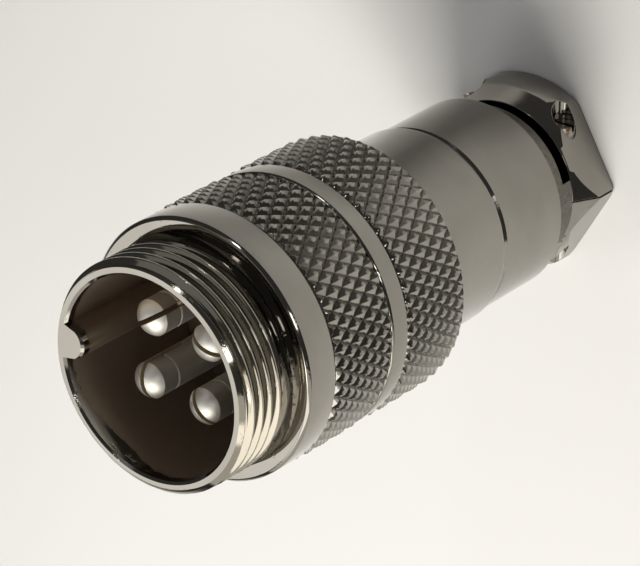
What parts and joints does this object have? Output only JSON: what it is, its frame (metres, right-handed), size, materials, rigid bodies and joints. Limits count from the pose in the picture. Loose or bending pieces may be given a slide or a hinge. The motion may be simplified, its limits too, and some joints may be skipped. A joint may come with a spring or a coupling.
{
  "type": "circular cable connector",
  "caption": "Male circular cable connector: threaded, knurled metal shell with a keyed socket of round contact pins, a turning sleeve and a saddle clamp for the cable.",
  "frame": {"origin": "centre of the tail end face, which the connector stands on", "axes": "+Z along the connector's axis towards the mating end, +Y towards the clamp saddle, +X across the two clamp screws"},
  "size_m": [0.022, 0.022, 0.0498],
  "materials": {
    "shell_nickel": "bright nickel plating, polished",
    "tail_nickel": "bright nickel plating, polished",
    "saddle_nickel": "bright nickel plating, polished",
    "pin_nickel": "bright nickel plating, polished",
    "screw_steel": "plated steel, satin",
    "spring_steel": "plain spring steel",
    "insulator_plastic": "dark moulded phenolic"
  },
  "bodies": {
    "tail": {"tail_body": "tail_nickel", "swivel_circlip": "spring_steel"},
    "sleeve": {"sleeve_nut": "shell_nickel"},
    "mating_end": {"front_shell": "shell_nickel", "insulator": "insulator_plastic", "insulator_circlip": "spring_steel", "contact_pin_1": "pin_nickel", "contact_pin_2": "pin_nickel", "contact_pin_3": "pin_nickel", "contact_pin_4": "pin_nickel"},
    "saddle": {"clamp_saddle": "saddle_nickel"},
    "screw_left": {"clamp_screw_left": "screw_steel"},
    "screw_right": {"clamp_screw_right": "screw_steel"}
  },
  "joints": [
    {"name": "sleeve_turn", "type": "hinge", "parent": "tail", "child": "sleeve", "pos_m": [0, 0, 0.02], "axis": [0, 0, -1], "range_deg": [0, 1440]},
    {"name": "mating_end_slide", "type": "slide", "parent": "tail", "child": "mating_end", "axis": [0, 0, 1], "range_m": [0, 0.004]},
    {"name": "saddle_lift", "type": "slide", "parent": "tail", "child": "saddle", "axis": [0, 1, 0], "range_m": [0, 0.0015]},
    {"name": "screw_left_turn", "type": "hinge", "parent": "saddle", "child": "screw_left", "pos_m": [-0.0046, 0, 0.0024], "axis": [0, 1, 0], "range_deg": [0, 1800]},
    {"name": "screw_right_turn", "type": "hinge", "parent": "saddle", "child": "screw_right", "pos_m": [0.0046, 0, 0.0024], "axis": [0, 1, 0], "range_deg": [0, 1800]}
  ],
  "couplings": [
    {"joint": "sleeve_turn", "follows": "mating_end_slide", "rad_per_m": 6283.2},
    {"joint": "screw_left_turn", "follows": "saddle_lift", "rad_per_m": 20944},
    {"joint": "screw_right_turn", "follows": "saddle_lift", "rad_per_m": 20944}
  ]
}
